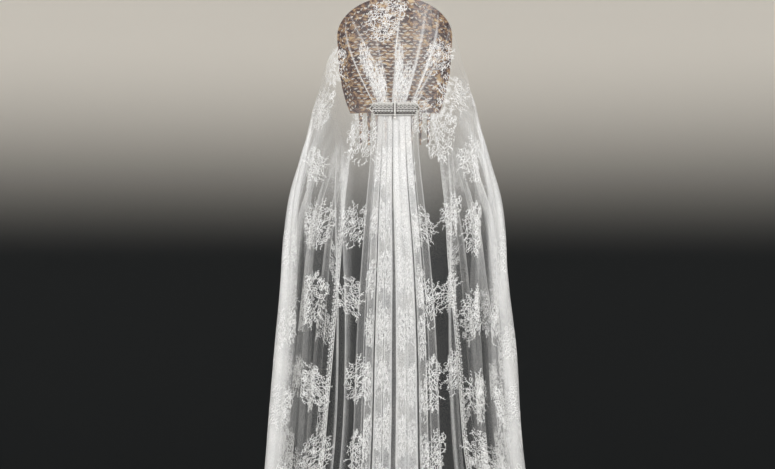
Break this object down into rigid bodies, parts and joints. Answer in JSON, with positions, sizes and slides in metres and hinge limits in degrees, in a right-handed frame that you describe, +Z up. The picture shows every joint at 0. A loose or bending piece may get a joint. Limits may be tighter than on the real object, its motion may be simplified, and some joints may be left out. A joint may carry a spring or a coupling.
{
  "type": "mantilla on a high comb",
  "caption": "Lace mantilla draped over a high pierced comb, gathered at the back of the head by a long brooch and falling in folds.",
  "frame": {"origin": "middle of the comb's root, where its teeth go into the hair at the back of the crown", "axes": "+Z up; +Y the way the wearer faces, so the gathered back faces -Y; +X to the right seen from behind"},
  "size_m": [0.6636, 0.3564, 1.3726],
  "materials": {
    "lace": "white net and lace, matte",
    "tortoiseshell": "polished tortoiseshell, honey and dark brown",
    "silver": "silver filigree set with clear stones"
  },
  "bodies": {
    "root": {"veil": "lace", "comb": "tortoiseshell", "brooch_left": "silver", "brooch_right": "silver", "brooch_band": "silver", "brooch_drop": "silver"}
  },
  "joints": []
}
